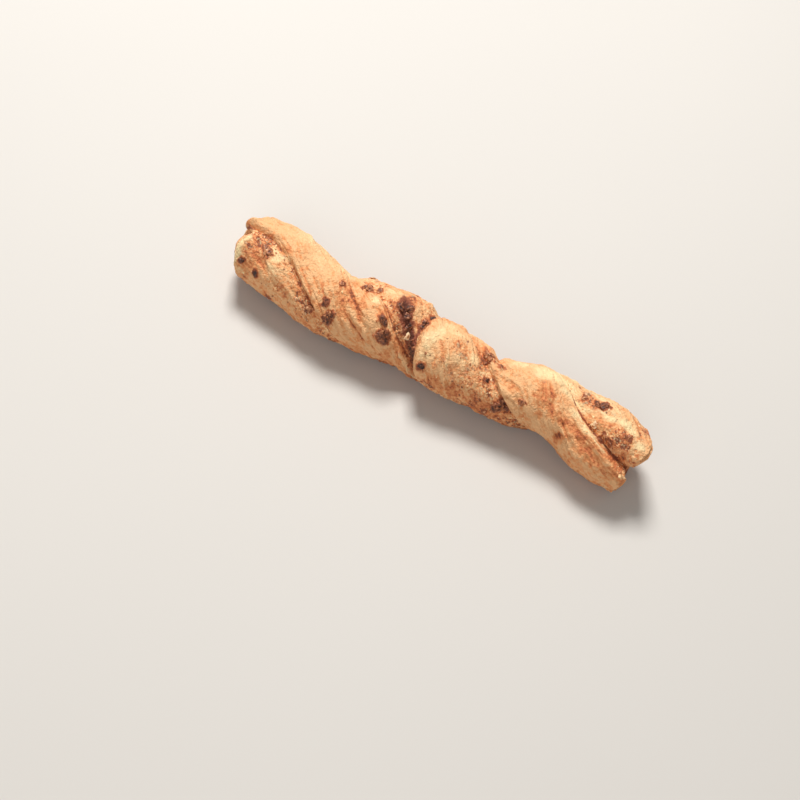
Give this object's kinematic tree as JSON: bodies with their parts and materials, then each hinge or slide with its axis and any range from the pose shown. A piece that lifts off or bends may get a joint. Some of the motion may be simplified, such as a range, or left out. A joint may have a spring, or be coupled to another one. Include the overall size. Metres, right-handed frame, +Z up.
{
  "type": "cheese straw",
  "caption": "Baked bread stick of two dough rolls twisted round each other, with browned cheese bits in its crust.",
  "frame": {"origin": "middle of the underside of the straw's bounding box, on the surface it lies on", "axes": "+X along the straw towards the end with the notch between its rolls, +Z up, front towards -Y"},
  "size_m": [0.2614, 0.054, 0.0418],
  "materials": {
    "baked_dough": null
  },
  "bodies": {
    "root": {"cheese_straw": "baked_dough"}
  },
  "joints": []
}
